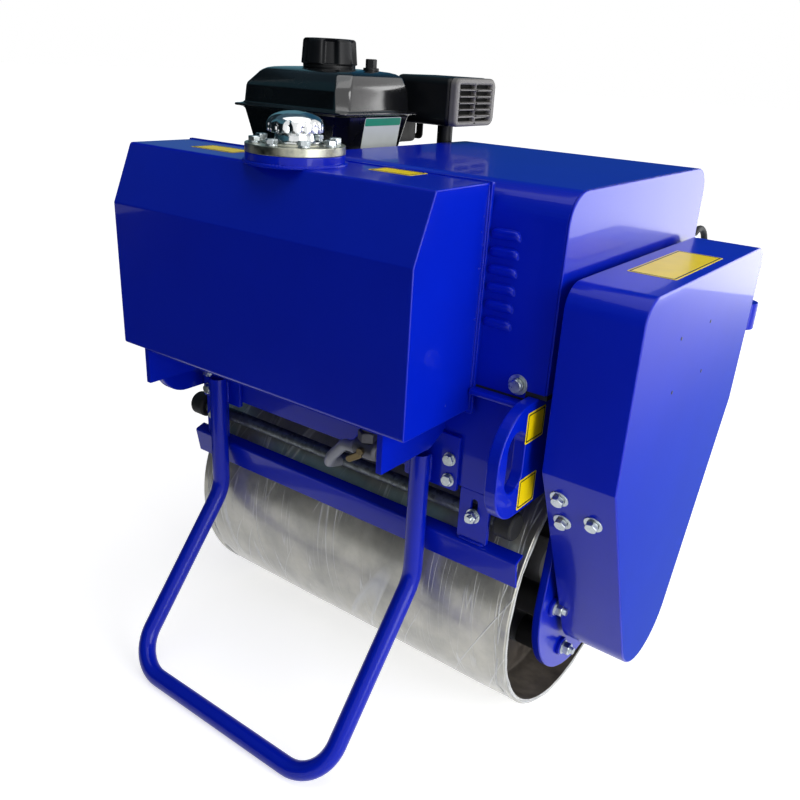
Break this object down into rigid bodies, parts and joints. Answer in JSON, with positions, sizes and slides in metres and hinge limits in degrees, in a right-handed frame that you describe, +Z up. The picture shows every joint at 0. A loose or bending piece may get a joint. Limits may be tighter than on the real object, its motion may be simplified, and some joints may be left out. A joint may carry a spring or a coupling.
{
  "type": "walk-behind roller",
  "caption": "Walk-behind single-drum roller with a front oil tank, sheet-metal hood, side belt cover, small engine, tubular parking stand and fold-down handle.",
  "frame": {"origin": "centre of the machine's bounding box, on the ground", "axes": "+Z up, -Y towards the parking stand and oil tank at the front, +Y towards the operator, +X towards the belt cover along the drum's axle"},
  "size_m": [0.834, 0.8421, 0.9401],
  "materials": {
    "bare_steel": "bare rolled steel under stretch film",
    "machined_steel": "machined",
    "blue_steel": "glossy powder coat",
    "rubber": "matt",
    "cast_iron": "painted",
    "zinc_steel": "zinc plated",
    "chrome_steel": "polished",
    "galvanised_steel": "dark galvanised",
    "brass": "cast",
    "cast_aluminium": "die cast",
    "black_plastic": "moulded",
    "dark_steel": "heat proof black"
  },
  "bodies": {
    "machine": {"drum_axle_stubs": "machined_steel", "right_yoke": "blue_steel", "left_yoke": "blue_steel", "right_yoke_cap": "blue_steel", "damper_rings": "machined_steel", "rubber_dampers": "rubber", "travel_motor": "cast_iron", "front_apron": "blue_steel", "rear_apron": "blue_steel", "right_side_plate": "blue_steel", "left_side_plate": "blue_steel", "deck": "blue_steel", "oil_tank": "blue_steel", "filler_ring": "zinc_steel", "breather_cap": "chrome_steel", "tank_shelf": "blue_steel", "parking_stand": "blue_steel", "stand_plates": "blue_steel", "front_scraper": "blue_steel", "rear_scraper": "blue_steel", "scraper_brackets": "blue_steel", "sprinkler_pipe": "galvanised_steel", "sprinkler_valve": "brass", "hood": "blue_steel", "hood_seal": "rubber", "engine_block": "cast_aluminium", "recoil_starter": "black_plastic", "fuel_tank": "black_plastic", "fuel_cap": "black_plastic", "air_cleaner": "black_plastic", "muffler": "dark_steel", "belt_cover": "blue_steel", "belt_cover_back": "blue_steel", "rear_beam": "blue_steel", "handle_pivots": "blue_steel", "hydraulic_hose": "rubber"},
    "drum": {"drum_shell": "bare_steel"},
    "handle": {"handle_frame": "blue_steel", "grips": "rubber", "control_box": "black_plastic", "travel_lever": "black_plastic"}
  },
  "joints": [
    {"name": "drum_spin", "type": "hinge", "parent": "machine", "child": "drum", "pos_m": [0, 0.009, 0.212], "axis": [1, 0, 0], "continuous": true},
    {"name": "handle_fold", "type": "hinge", "parent": "machine", "child": "handle", "pos_m": [0, 0.319, 0.588], "axis": [1, 0, 0], "range_deg": [0, 140]}
  ]
}
